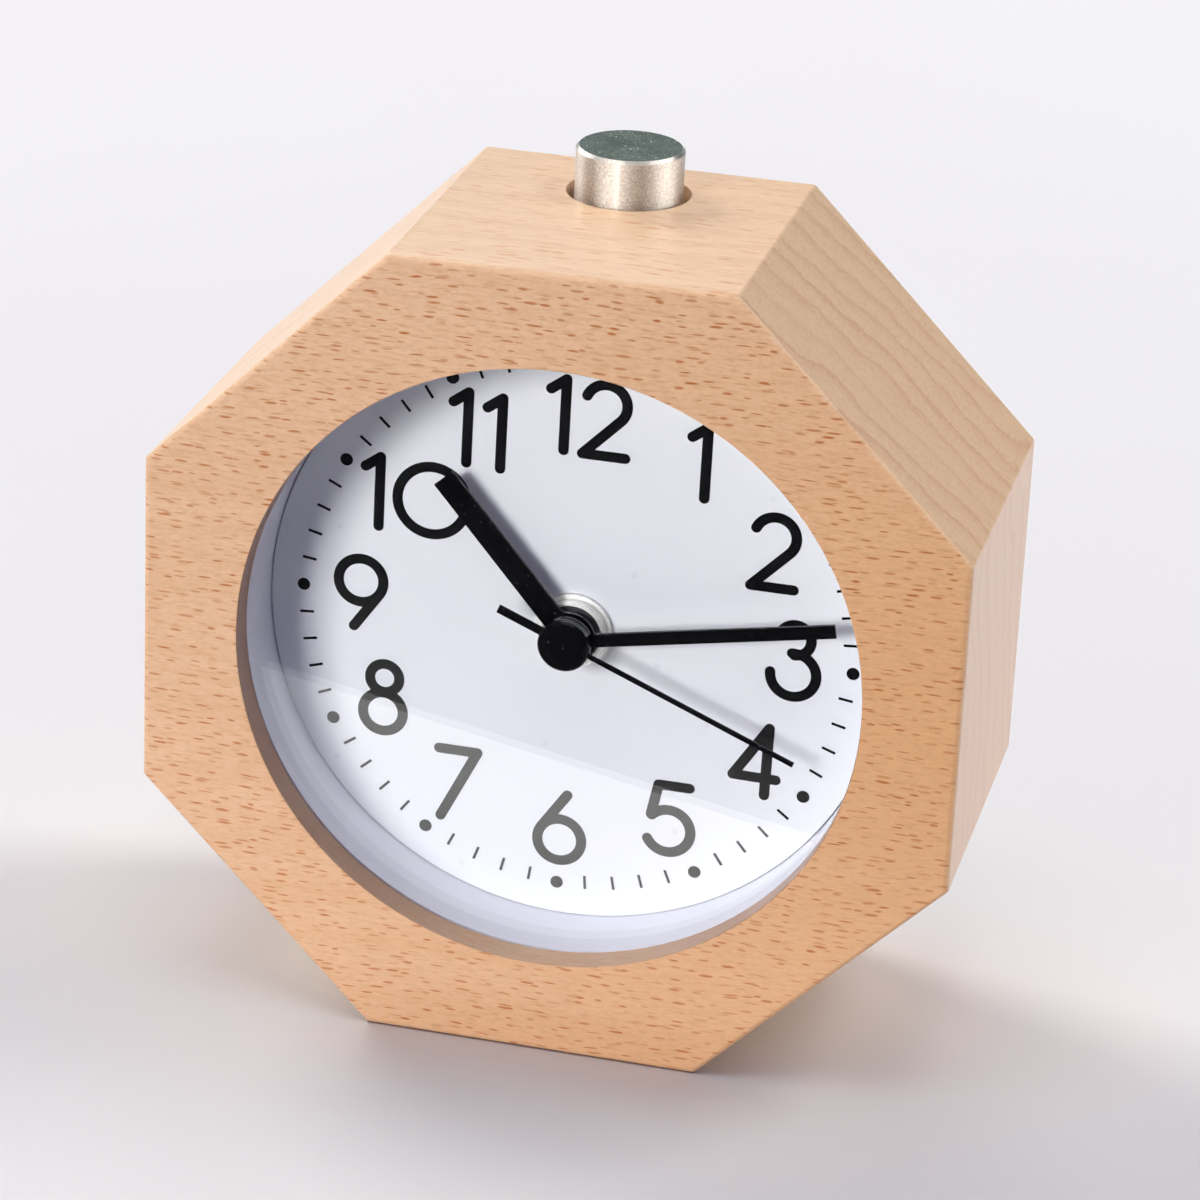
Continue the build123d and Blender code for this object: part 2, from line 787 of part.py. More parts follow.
def back_cover():
    cover = rod((0, 0), cover_seat_radius - bore_clearance, cover_front, cover_back)
    cover += layer(Circle(insert_radius) - Circle(skirt_radius), skirt_back, cover_front)
    door = Pos(0, battery_y) * Rectangle(door_opening_width, door_opening_height)
    cover -= layer(door, cover_front - cut_margin, cover_back + cut_margin)
    pin_length = door_width / 2 + door_pin_length + running_gap
    cover -= door_pins(door_pin_radius + running_gap, pin_length)
    for place in (time_set_place, alarm_set_place):
        cover -= rod(place, set_arbor_radius + loose_gap, cover_front - cut_margin, cover_back + cut_margin)
    cover -= layer(switch_slot(), cover_front - cut_margin, cover_back + cut_margin)
    first = -sound_slot_spacing * (sound_slot_count - 1) / 2
    for slot in range(sound_slot_count):
        place = Pos(buzzer_place[0], buzzer_place[1] + first + sound_slot_spacing * slot)
        cut = place * SlotOverall(sound_slot_length, sound_slot_width)
        cover -= layer(cut, cover_front - cut_margin, cover_back + cut_margin)
    for place in screw_places():
        cover -= rod(place, screw_shank_radius + running_gap, cover_front - cut_margin, cover_back)
        sink = screw_head_radius + running_gap
        cover -= rod(place, sink, cover_back - screw_head_sink, cover_back + cut_margin)
    return cover


def back_cover_screws():
    screws = []
    seat = cover_back - screw_head_sink
    head_back = seat + screw_head_height
    for place in screw_places():
        head = rod(place, screw_head_radius, seat, head_back)
        head += rod(place, screw_shank_radius, cover_front - screw_shank_length, seat)
        for turn in (0, 90):
            slot = Pos(*place) * Rot(0, 0, turn) * Rectangle(2 * screw_head_radius, screw_slot_width)
            inside = slot & disc(place, screw_shank_radius)
            head -= layer(inside, head_back - screw_slot_depth, head_back + cut_margin)
        screws.append(head)
    return Compound(children=screws)


def door_pins(radius, half_length):
    """Round bar along the hinge line of the battery door."""
    line = Plane(origin=(-half_length, door_hinge_y, -door_hinge_depth), z_dir=(1, 0, 0))
    return extrude(line * Circle(radius), amount=2 * half_length)


def battery_door():
    top = battery_y + door_height / 2
    half = door_width / 2
    plate = between(-half, door_hinge_y, half, top)
    tongue = latch_width / 2
    slit_end = tongue + latch_slit
    slits = between(-slit_end, top - latch_length, slit_end, top + cut_margin)
    slits -= between(-tongue, top - latch_length - cut_margin, tongue, top + cut_margin)
    door = layer(plate - slits, cover_front, cover_back)
    edge = Plane(origin=(-half, door_hinge_y, -door_hinge_depth), z_dir=(1, 0, 0))
    door += extrude(edge * Circle(cover_thickness / 2), amount=door_width)
    door += door_pins(door_pin_radius, half + door_pin_length)
    for groove in range(latch_grip_count):
        middle = top - latch_grip_spacing * (groove + 1)
        cut = Pos(0, middle) * Rectangle(latch_width, latch_grip_width)
        door -= layer(cut, cover_back - latch_grip_depth, cover_back + cut_margin)
    return door


def hour_hand():
    tube = hour_tube_radius + press_gap
    hand = layer(hand_outline(hour_length, hour_width, hour_hub_radius, tube), hour_hand_depth,
                 hour_hand_depth + hand_thickness)
    return Rot(0, 0, -hour_angle) * hand


def minute_hand():
    tube = minute_tube_radius + press_gap
    back = minute_hand_depth + hand_thickness
    hand = layer(hand_outline(minute_length, minute_width, minute_hub_radius, tube), minute_hand_depth, back)
    hand += layer(Circle(tube + sleeve_wall) - Circle(tube), back, back + sleeve_length)
    return Rot(0, 0, -minute_angle) * hand


def alarm_hand():
    tube = alarm_tube_radius + press_gap
    hand = layer(hand_outline(alarm_length, alarm_width, alarm_hub_radius, tube), alarm_hand_depth,
                 alarm_hand_depth + hand_thickness)
    return Rot(0, 0, -hour_angle) * hand


def second_hand():
    blade_front = second_blade_depth
    blade_back = blade_front + second_thickness
    pointer = between(-second_width / 2, 0, second_width / 2, second_length)
    tail = between(-second_tail_width / 2, -second_tail_length, second_tail_width / 2, 0)
    hand = layer(pointer + tail + Circle(second_cap_radius), blade_front, blade_back)
    cap = rod((0, 0), second_cap_radius, second_cap_depth, blade_front)
    hand += chamfer(cap.edges().group_by(Axis.Z)[-1], second_cap_chamfer)
    middle = second_cap_depth + second_cap_height / 2
    hand -= rod((0, 0), second_arbor_radius + press_gap, middle, blade_back + cut_margin)
    return Rot(0, 0, -second_angle) * hand


def second_wheel():
    phase = mesh_phase(fifth_pinion_teeth, 0, second_teeth, fifth_direction + 180)
    wheel = layer(gear(second_teeth, fifth_module, phase), second_front, second_back)
    wheel += layer(gear(second_pinion_teeth, second_pinion_module, 0), second_back, second_pinion_back)
    front = second_cap_depth + second_cap_height / 2 + press_gap
    return wheel + rod((0, 0), second_arbor_radius, front, bridge_back - pinion_overlap)


def third_wheel():
    phase = mesh_phase(second_pinion_teeth, 0, third_teeth, third_direction)
    radius = third_teeth * second_pinion_module / 2
    outline = crossed(gear(third_teeth, second_pinion_module, phase), radius)
    wheel = layer(outline, third_front, third_back)
    pinion = gear(third_pinion_teeth, centre_module, 0)
    wheel += layer(pinion, centre_front - pinion_overlap, centre_back + pinion_overlap)
    front = plate_back - pivot_depth + pinion_overlap
    wheel += rod((0, 0), arbor_radius, front, bridge_back - pinion_overlap)
    return Pos(*third_place) * wheel


def centre_wheel():
    phase = mesh_phase(third_pinion_teeth, 0, centre_teeth, third_direction + 180)
    radius = centre_teeth * centre_module / 2
    outline = crossed(gear(centre_teeth, centre_module, phase), radius)
    return layer(outline - Circle(cannon_boss_radius + running_gap), centre_front, centre_back)


def fifth_wheel():
    phase = mesh_phase(rotor_teeth, 0, fifth_teeth, rotor_direction + 180)
    wheel = layer(gear(fifth_teeth, rotor_module, phase), fifth_front, fifth_back)
    pinion = gear(fifth_pinion_teeth, fifth_module, 0)
    wheel += layer(pinion, second_front - pinion_overlap, second_back + pinion_overlap)
    wheel += rod((0, 0), fine_arbor_radius, middle_front + pinion_overlap, bridge_back - pinion_overlap)
    return Pos(*fifth_place) * wheel


def rotor_pinion():
    pinion = gear(rotor_teeth, rotor_module, 0)
    rotor = layer(pinion, fifth_front - pinion_overlap, fifth_back + pinion_overlap)
    rotor += rod((0, 0), fine_arbor_radius, middle_front + pinion_overlap, bridge_back - pinion_overlap)
    return Pos(*rotor_place) * rotor


def rotor_magnet():
    middle = (stator_front + stator_back) / 2
    ring = disc(rotor_place, magnet_radius) - disc(rotor_place, fine_arbor_radius + press_gap)
    return layer(ring, middle - magnet_length / 2, middle + magnet_length / 2)


def cannon_pinion():
    pinion = layer(gear(cannon_teeth, motion_module, 0), cannon_front, cannon_back)
    pinion += rod((0, 0), minute_tube_radius, minute_hand_depth, cannon_front)
    pinion += rod((0, 0), cannon_boss_radius, cannon_back, centre_back + clutch_gap)
    bore = second_arbor_radius + running_gap
    return pinion - rod((0, 0), bore, minute_hand_depth - cut_margin, middle_front)


def clutch_spring():
    """Dished washer that presses the centre wheel against its seat."""
    inner = cannon_boss_radius + running_gap
    front = -cannon_back - clutch_gap
    back = front - clutch_height
    corners = [(inner, front), (inner, front - clutch_thickness), (clutch_radius, back),
               (clutch_radius, back + clutch_thickness)]
    section = make_face(Polyline(*[(radius, 0, depth) for radius, depth in corners], close=True))
    return revolve(section, Axis.Z)


def minute_work_wheel():
    phase = mesh_phase(cannon_teeth, 0, minute_work_teeth, minute_work_direction)
    wheel = layer(gear(minute_work_teeth, motion_module, phase), minute_work_front, minute_work_back)
    wheel += layer(gear(minute_work_pinion_teeth, hour_module, 0), hour_front, minute_work_front)
    bore = minute_work_post_radius + running_gap
    wheel -= rod((0, 0), bore, hour_front - cut_margin, minute_work_back + cut_margin)
    return Pos(*minute_work_place) * wheel


def hour_wheel():
    phase = mesh_phase(minute_work_pinion_teeth, 0, hour_teeth, minute_work_direction + 180)
    wheel = layer(gear(hour_teeth, hour_module, phase), hour_front, hour_back)
    wheel += rod((0, 0), hour_tube_radius, hour_hand_depth, hour_front)
    bore = minute_tube_radius + running_gap
    return wheel - rod((0, 0), bore, hour_hand_depth - cut_margin, hour_back + cut_margin)


def alarm_wheel():
    phase = mesh_phase(alarm_set_teeth, 0, alarm_teeth, alarm_set_direction + 180)
    wheel = layer(gear(alarm_teeth, alarm_module, phase), alarm_front, alarm_back)
    wheel += rod((0, 0), alarm_tube_radius, alarm_hand_depth, alarm_front)
    bore = hour_tube_radius + running_gap
    return wheel - rod((0, 0), bore, alarm_hand_depth - cut_margin, alarm_back + cut_margin)


def set_arbor(place):
    """Arbor from the front plate to the inside of a setting knob."""
    front = plate_back - pivot_depth + pinion_overlap
    back = cover_back + knob_gap + knob_bore_depth - press_gap
    return rod(place, set_arbor_radius, front, back)


def time_set_pinion():
    wheel_phase = mesh_phase(cannon_teeth, 0, minute_work_teeth, minute_work_direction)
    phase = mesh_phase(minute_work_teeth, wheel_phase, time_set_teeth, minute_work_direction)
    pinion = layer(gear(time_set_teeth, motion_module, phase), minute_work_front, minute_work_back)
    return Pos(*time_set_place) * pinion + set_arbor(time_set_place)


def alarm_set_wheel():
    wheel = layer(gear(alarm_set_teeth, alarm_module, 0), alarm_front, alarm_back)
    return Pos(*alarm_set_place) * wheel + set_arbor(alarm_set_place)


def knob(place):
    front = cover_back + knob_gap
    back = front + knob_height
    outline = Circle(knob_radius)
    step = 360 / knob_flutes
    outline -= [disc(polar(knob_radius, step * flute), knob_flute_radius) for flute in range(knob_flutes)]
    body = layer(outline, front, back) & chamfered_disc(knob_radius, front, back, knob_chamfer)
    body -= rod((0, 0), set_arbor_radius + press_gap, front - cut_margin, front + knob_bore_depth)
    return Pos(*place) * body


def chamfered_disc(radius, front, back, size):
    """A disc with its rear edge taken off."""
    blank = rod((0, 0), radius, front, back)
    return chamfer(blank.edges().group_by(Axis.Z)[0], size)


def time_knob():
    return knob(time_set_place)


def alarm_knob():
    return knob(alarm_set_place)


def button_cap():
    centre = (0, button_depth)
    cap = upright(disc(centre, button_radius), button_low, button_top)
    cap = chamfer(cap.edges().group_by(Axis.Y)[-1], button_chamfer)
    return cap - upright(disc(centre, button_radius - button_wall), button_low - cut_margin, plug_high)


def button_stem():
    centre = (0, button_depth)
    stem = upright(disc(centre, button_radius - button_wall - press_gap), plug_low, plug_high)
    stem += upright(disc(centre, stem_radius), stem_low, plug_low)
    groove = disc(centre, stem_radius + cut_margin) - disc(centre, stem_radius - stem_groove_depth)
    return stem - upright(groove, clip_low, bracket_plate_low)


def button_clip():
    """Open ring in the groove of the stem, under the bracket."""
    inner = stem_radius - stem_groove_depth + press_gap
    mouth = between(-clip_mouth_width / 2, -clip_radius - cut_margin, clip_mouth_width / 2, 0)
    ring = Circle(clip_radius) - Circle(inner) - mouth
    return upright(Pos(0, button_depth) * ring, clip_low, bracket_plate_low)


def switch_bracket():
    half = bracket_width / 2
    front = button_depth - bracket_depth / 2
    back = button_depth + bracket_depth / 2
    bridge = upright(between(-half, front, half, back), movement_top, bracket_top)
    room = between(-half + bracket_wall, front - cut_margin, half - bracket_wall, back + cut_margin)
    bridge -= upright(room, movement_top - cut_margin, bracket_plate_low)
    guide = disc((0, button_depth), stem_radius + running_gap)
    return bridge - upright(guide, bracket_plate_low - cut_margin, bracket_top + cut_margin)


def snooze_board():
    outline = Pos(0, button_depth) * Rectangle(switch_board_width, bracket_depth)
    return upright(outline, movement_top, switch_board_top)


def snooze_switch():
    centre = Pos(0, button_depth)
    square = centre * Rectangle(snooze_body_width, snooze_body_width)
    body = upright(square, switch_board_top, snooze_body_top)
    return body + upright(centre * Circle(snooze_plunger_radius), snooze_body_top, snooze_plunger_top)


def helix_point(turn):
    """Point and direction of the spring's centre line after a number of turns."""
    length = plug_low - bracket_top - 2 * (spring_wire_radius + spring_end_gap)
    angle = 2 * pi * turn
    rise = length / spring_turns
    start = bracket_top + spring_wire_radius + spring_end_gap
    x, y = polar(spring_radius, 360 * turn)
    place = Vector(x, start + rise * turn, y - button_depth)
    around = 2 * pi * spring_radius
    heading = Vector(-around * sin(angle), rise, around * cos(angle)).normalized()
    return place, heading


def biarc(start, end):
    """Two arcs that leave the first point and reach the second in their own directions."""
    (first, heading), (last, leaving) = start, end
    chord = last - first
    both = heading + leaving
    spread = 2 * (1 - heading.dot(leaving))
    along = chord.dot(both)
    reach = (sqrt(along * along + spread * chord.dot(chord)) - along) / spread
    joint = (first + last + (heading - leaving) * reach) * 0.5
    middle = (last - leaving * reach) - (first + heading * reach)
    return [Edge.make_tangent_arc(first, heading, joint), Edge.make_tangent_arc(joint, middle, last)]


def button_spring():
    steps = spring_turns * arcs_per_turn
    stations = [helix_point(step / arcs_per_turn) for step in range(steps + 1)]
    arcs = [arc for pair in zip(stations, stations[1:]) for arc in biarc(*pair)]
    place, heading = stations[0]
    section = Plane(origin=place, z_dir=heading) * Circle(spring_wire_radius)
    pitch = (plug_low - bracket_top - 2 * spring_wire_radius) / spring_turns
    gap = pitch - 2 * spring_wire_radius
    print("spring: least gap between turns", round(gap, 2), "of at least", spring_least_gap)
    return sweep(section, Wire(arcs))


pieces = (
    wooden_case, glass_lens, inner_housing, dial, centre_nut, rubber_washer,
    movement_front_case, movement_rear_case, middle_plate, train_bridge, alarm_leaf,
    stator, coil_core, coil_bobbin, coil_winding, circuit_board, quartz_crystal, clock_chip,
    buzzer, alarm_switch_body, alarm_switch_slider, battery_cell, battery_contact_positive,
    battery_contact_negative, back_cover, back_cover_screws, battery_door,
    hour_hand, minute_hand, second_hand, alarm_hand, second_wheel, third_wheel, centre_wheel,
    fifth_wheel, rotor_pinion, rotor_magnet, cannon_pinion, clutch_spring, minute_work_wheel,
    hour_wheel, alarm_wheel, time_set_pinion, alarm_set_wheel, time_knob, alarm_knob,
    button_cap, button_stem, button_clip, button_spring, switch_bracket, snooze_board, snooze_switch,
)

# The drawing stands up: its Y becomes the vertical, the bottom flat lies at height zero
stand = Location((0, -case_depth / 2, case_half), (90, 0, 0))
os.makedirs("parts", exist_ok=True)
for piece in pieces:
    export_step(stand * piece(), f"parts/{piece.__name__}.step")
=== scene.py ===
import json
import math

import bmesh
import bpy
from mathutils import Matrix, Vector


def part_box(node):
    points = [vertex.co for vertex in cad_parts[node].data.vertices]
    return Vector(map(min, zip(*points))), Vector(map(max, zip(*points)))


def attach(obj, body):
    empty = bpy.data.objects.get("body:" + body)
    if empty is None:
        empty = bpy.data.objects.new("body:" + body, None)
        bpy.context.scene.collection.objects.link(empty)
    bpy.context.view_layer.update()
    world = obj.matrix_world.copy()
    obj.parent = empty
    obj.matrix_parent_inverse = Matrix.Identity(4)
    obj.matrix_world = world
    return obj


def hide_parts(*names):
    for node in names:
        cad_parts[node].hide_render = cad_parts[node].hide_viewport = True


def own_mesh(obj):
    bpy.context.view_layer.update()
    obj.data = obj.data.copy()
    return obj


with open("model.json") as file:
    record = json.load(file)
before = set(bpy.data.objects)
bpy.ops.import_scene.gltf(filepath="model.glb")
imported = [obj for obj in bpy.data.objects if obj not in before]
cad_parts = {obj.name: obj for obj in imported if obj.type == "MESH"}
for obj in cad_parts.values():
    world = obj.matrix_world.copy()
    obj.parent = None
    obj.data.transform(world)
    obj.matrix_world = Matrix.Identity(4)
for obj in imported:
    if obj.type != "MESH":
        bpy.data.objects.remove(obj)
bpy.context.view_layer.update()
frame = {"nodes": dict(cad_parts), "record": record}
nodes = frame["nodes"]

# Lengths below are millimetres and become metres through this factor
MM = 0.001

# Camera fitted to the edges of the case
camera_place = (107.76, -463.3, 246.97)
camera_forward = (-0.20663, 0.89751, -0.38959)
camera_roll = 2.67
camera_lens = 140.58
camera_sensor = 36.0

# Print on the dial, which sits a little clockwise in the case
print_height = 0.03
print_sink = 0.01
print_twist = 1.56
figure_stroke = 1.17
dot_circle_radius = 30.95
dot_radius = 0.72
tick_inner_radius = 29.8
tick_outer_radius = 31.4
tick_width = 0.3
ticks_per_hour = 5
hours = 12
arc_step = 9.0
round_end_steps = 12

# Return spring under the button
spring_radius = 3.3
spring_wire_radius = 0.25
spring_turns = 5
spring_steps_per_turn = 32
spring_sides = 10

# Studio
floor_half = 4000.0
floor_steps = 24
backdrop_radius = 3800.0
backdrop_colour = (0.82, 0.8, 0.81, 1.0)
room_colour = (0.13, 0.14, 0.15, 1.0)
haze_start = 380.0
haze_full = 900.0
case_middle = (0, 0, 45)

dial_low, dial_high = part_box("dial")
dial_front = dial_low.y / MM
dial_middle = (dial_low.z + dial_high.z) / 2 / MM


def linear(red, green, blue):
    """A colour given as 0 to 255 screen values, as the shader wants it."""
    def channel(value):
        share = value / 255
        return share / 12.92 if share <= 0.04045 else ((share + 0.055) / 1.055) ** 2.4
    return (channel(red), channel(green), channel(blue), 1.0)


# Beech, from its pale early wood to the darkest ray flecks
wood_pale = linear(235, 196, 160)
wood_middle = linear(228, 184, 145)
wood_deep = linear(217, 169, 127)
wood_mottle = linear(203, 152, 108)
# Painted shade for the block's right side
wood_right_shade = linear(231, 168, 102)
# Painted sheen for the faces other than the front
wood_side_sheen = linear(236, 214, 178)
wood_ring = linear(190, 134, 90)
wood_end = linear(236, 206, 186)
wood_fleck = linear(186, 110, 58)
wood_dash = linear(206, 134, 76)
# Darker end grain with painted shade, for the cut wall of the window
wood_bore_grain_and_shade = linear(140, 88, 58)
rings_per_mm = 0.2
bore_reach = 34.6
front_cell = (2.5, 0.7)
top_cell = (3.4, 1.4)


class Paint:
    """A material being mixed: adds shader nodes, wires them and keeps the object's own place."""

    def __init__(self, name):
        self.material = bpy.data.materials.new(name)
        self.material.use_nodes = True
        self.tree = self.material.node_tree
        self.tree.nodes.clear()
        self.place = self.add("TexCoord").outputs["Object"]

    def add(self, kind, inputs=None, **settings):
        node = self.tree.nodes.new("ShaderNode" + kind)
        for key, value in settings.items():
            setattr(node, key, value)
        for key, value in (inputs or {}).items():
            if isinstance(value, bpy.types.NodeSocket):
                self.tree.links.new(value, node.inputs[key])
            else:
                node.inputs[key].default_value = value
        return node

    def math(self, operation, *values, clamp=False):
        """Arithmetic on sockets and numbers."""
        inputs = dict(enumerate(values))
        return self.add("Math", inputs, operation=operation, use_clamp=clamp).outputs[0]

    def stretched(self, per_x, per_y, per_z, start=None):
        """The place in a space with that many units to the millimetre along each axis."""
        scale = (per_x / MM, per_y / MM, per_z / MM)
        start = self.place if start is None else start
        return self.add("VectorMath", {0: start, 1: scale}, operation="MULTIPLY").outputs[0]

    def noise(self, vector, detail=2.0, roughness=0.5, distortion=0.0):
        inputs = {"Vector": vector, "Scale": 1.0, "Detail": detail, "Roughness": roughness,
                  "Distortion": distortion}
        return self.add("TexNoise", inputs).outputs["Fac"]

    def between(self, value, low, high):
        """0 below low, 1 above high, smooth in the middle."""
        inputs = {"Value": value, "From Min": low, "From Max": high}
        return self.add("MapRange", inputs, interpolation_type="SMOOTHSTEP").outputs["Result"]

    def span(self, value, low, high):
        """A share from 0 to 1 spread from low to high."""
        inputs = {"Value": value, "To Min": low, "To Max": high}
        return self.add("MapRange", inputs).outputs["Result"]

    def ramp(self, share, *stops):
        """A colour from a row of (share, colour) stops."""
        node = self.add("ValToRGB", {"Fac": share})
        elements = node.color_ramp.elements
        while len(elements) < len(stops):
            elements.new(1.0)
        for element, (place, colour) in zip(elements, stops):
            element.position = place
            element.color = colour
        return node.outputs["Color"]

    def mix(self, share, first, second, blend="MIX"):
        node = self.add("Mix", data_type="RGBA", blend_type=blend)
        for socket, value in ((node.inputs[0], share), (node.inputs[6], first), (node.inputs[7], second)):
            if isinstance(value, bpy.types.NodeSocket):
                self.tree.links.new(value, socket)
            else:
                socket.default_value = value
        return node.outputs[2]

    def bump(self, height, strength, depth):
        inputs = {"Height": height, "Strength": strength, "Distance": depth * MM}
        return self.add("Bump", inputs).outputs["Normal"]

    def facing(self, axis):
        """How squarely the surface faces along X, Y or Z of the object, from 0 to 1."""
        normal = self.add("SeparateXYZ", {0: self.add("TexCoord").outputs["Normal"]})
        return self.math("ABSOLUTE", normal.outputs[axis])

    def finish(self, **inputs):
        """Closes the material with one surface shader."""
        named = {key.replace("_", " "): value for key, value in inputs.items()}
        shader = self.add("BsdfPrincipled", named)
        output = self.add("OutputMaterial")
        self.tree.links.new(shader.outputs["BSDF"], output.inputs["Surface"])
        return self.material


def wear_specks(paint, size, share):
    """Small separate specks, such as dust on lacquer."""
    per = 1 / size
    cells = paint.add("TexVoronoi", {"Vector": paint.stretched(per, per, per), "Scale": 1.0})
    near = paint.between(cells.outputs["Distance"], 0.16, 0.08)
    lot = paint.add("SeparateColor", {0: cells.outputs["Color"]}).outputs[0]
    return paint.math("MULTIPLY", near, paint.math("LESS_THAN", lot, share))


def beech():
    """Flat-sawn beech: the front shows short ray flecks, the other faces show ring lines."""
    paint = Paint("beech")
    sway = paint.noise(paint.stretched(0.02, 0.04, 0.04), detail=2.0)
    ripple = paint.noise(paint.stretched(0.1, 0.14, 0.14), detail=3.0, roughness=0.6)
    tone = paint.noise(paint.stretched(0.012, 0.05, 0.06), detail=3.0)
    streak = paint.noise(paint.stretched(0.05, 1.3, 0.35), detail=4.0, roughness=0.6)
    mottle = paint.noise(paint.stretched(0.9, 2.4, 2.4), detail=3.0, roughness=0.65)
    hair = paint.noise(paint.stretched(0.14, 2.4, 1.6), detail=3.0, roughness=0.6)
    fibre = paint.noise(paint.stretched(0.35, 2.8, 2.8), detail=3.0, roughness=0.65)
    front = paint.between(paint.facing(1), 0.45, 0.9)
    side = paint.math("SUBTRACT", 1.0, front)
    top = paint.between(paint.facing(2), 0.85, 0.97)
    place = paint.add("SeparateXYZ", {0: paint.stretched(1, 1, 1)})

    # Growth rings lie in bent sheets behind one another, leaning a little
    leaning = paint.math("MULTIPLY_ADD", place.outputs[2], 0.3, place.outputs[1])
    leaning = paint.math("MULTIPLY_ADD", place.outputs[0], -0.06, leaning)
    leaning = paint.math("MULTIPLY_ADD", ripple, 5.0, leaning)
    ring = paint.math("MULTIPLY", paint.math("MULTIPLY_ADD", sway, 16.0, leaning), rings_per_mm)
    ring = paint.math("MULTIPLY_ADD", fibre, 0.5, ring)
    year = paint.add("TexWhiteNoise", {"W": paint.math("FLOOR", ring)}, noise_dimensions="1D")
    late_wood = paint.math("POWER", paint.math("FRACT", ring), 4.0)
    late_wood = paint.math("MULTIPLY", late_wood, paint.span(year.outputs["Value"], 0.4, 1.0))

    # Painted shade: the block turns redder and darker towards the right, where less light falls; random tone makes
    # the change uneven
    wood = paint.ramp(streak, (0.15, wood_pale), (0.5, wood_middle), (0.85, wood_deep))
    right_shade = paint.between(paint.math("MULTIPLY_ADD", tone, 30.0, place.outputs[0]), -20.0, 65.0)
    wood = paint.mix(paint.math("MULTIPLY", right_shade, 0.6), wood, wood_right_shade)
    # Painted shade and painted light: the front is darker towards the bottom and paler towards the top
    low = paint.math("MULTIPLY", paint.between(place.outputs[2], 60.0, 5.0), front)
    wood = paint.mix(paint.math("MULTIPLY", low, 0.5), wood, wood_deep)
    high = paint.math("MULTIPLY", paint.between(place.outputs[2], 40.0, 95.0), front)
    wood = paint.mix(paint.math("MULTIPLY", high, 0.6), wood, wood_pale)
    # Painted sheen: the faces other than the front are paler, the top a little less so
    side_sheen = paint.math("MULTIPLY", paint.span(side, 0.0, 0.52), paint.span(top, 1.0, 0.8))
    wood = paint.mix(side_sheen, wood, wood_side_sheen)
    shade = paint.math("MULTIPLY", paint.between(mottle, 0.42, 0.7), 0.34)
    shade = paint.math("MULTIPLY_ADD", paint.between(fibre, 0.42, 0.7), 0.36, shade)
    wood = paint.mix(paint.math("MULTIPLY", shade, paint.span(side, 1.0, 0.6)), wood, wood_mottle)
    lines = paint.math("MULTIPLY", late_wood, paint.span(side, 0.06, 0.55))
    lines = paint.math("MULTIPLY", lines, paint.span(top, 1.0, 0.45))
    wood = paint.mix(lines, wood, wood_ring)
    fine = paint.math("MULTIPLY", paint.between(hair, 0.54, 0.72), paint.span(side, 0.06, 0.2))
    wood = paint.mix(fine, wood, wood_ring)
    end_grain = paint.between(paint.facing(0), 0.8, 0.98)
    wood = paint.mix(paint.math("MULTIPLY", end_grain, 0.4), wood, wood_end)

    # The cut wall of the window is darker, most of all across the grain: partly the darker end grain, partly painted
    # shade in the recess
    above = paint.math("SUBTRACT", place.outputs[2], case_middle[2])
    radius = paint.math("SQRT", paint.math("ADD", paint.math("POWER", place.outputs[0], 2.0),
                                           paint.math("POWER", above, 2.0)))
    bore_grain_and_shade = paint.math("MULTIPLY", paint.between(radius, bore_reach + 0.5, bore_reach), side)
    bore_grain_and_shade = paint.math("MULTIPLY", bore_grain_and_shade, paint.span(paint.facing(0), 0.35, 0.85))
    wood = paint.mix(bore_grain_and_shade, wood, wood_bore_grain_and_shade)

    flecks = ray_flecks(paint, place.outputs[2], front_cell, 0.0, 1.0)
    flecks = paint.math("MULTIPLY", flecks, front)
    wood = paint.mix(flecks, wood, wood_fleck)
    dashes = ray_flecks(paint, place.outputs[1], top_cell, 0.0, 0.6)
    wood = paint.mix(paint.math("MULTIPLY", dashes, top), wood, wood_dash)
    grain = paint.math("SUBTRACT", paint.math("MULTIPLY", mottle, 0.5), flecks)
    return paint.finish(Base_Color=wood, Roughness=paint.span(streak, 0.26, 0.4), IOR=1.48,
                        Specular_IOR_Level=0.42,
                        Normal=paint.bump(grain, 0.3, 0.06))


def ray_flecks(paint, across, cell, low, high):
    """Short spindles along X, each in its own cell, with strengths from low to high."""
    length, height = cell
    drift = paint.noise(paint.stretched(0.05, 0.09, 0.09), detail=1.0)
    along = paint.add("SeparateXYZ", {0: paint.stretched(1 / length, 1, 1)}).outputs[0]
    rows = paint.math("MULTIPLY_ADD", drift, 2.6, paint.math("DIVIDE", across, height))
    flat = paint.add("CombineXYZ", {0: along, 1: rows}).outputs[0]
    cells = paint.add("TexVoronoi", {"Vector": flat, "Scale": 1.0}, voronoi_dimensions="2D")
    away = paint.add("VectorMath", {0: flat, 1: cells.outputs["Position"]}, operation="SUBTRACT")
    gap = paint.add("SeparateXYZ", {0: away.outputs[0]})
    lot = paint.add("SeparateColor", {0: cells.outputs["Color"]})
    half_length = paint.span(lot.outputs[0], 0.18, 0.44)
    half_height = paint.span(lot.outputs[1], 0.1, 0.26)
    lengthwise = paint.math("POWER", paint.math("DIVIDE", gap.outputs[0], half_length), 2.0)
    upward = paint.math("POWER", paint.math("DIVIDE", gap.outputs[1], half_height), 2.0)
    spindle = paint.between(paint.math("ADD", lengthwise, upward), 1.1, 0.2)
    return paint.math("MULTIPLY", spindle, paint.span(lot.outputs[2], low, high))


def clear_glass():
    paint = Paint("clear_glass")
    smear = paint.noise(paint.stretched(0.05, 0.05, 0.05), detail=3.0)
    return paint.finish(Base_Color=(1.0, 1.0, 1.0, 1.0), Roughness=paint.span(smear, 0.0, 0.012),
                        IOR=1.5, Transmission_Weight=1.0)


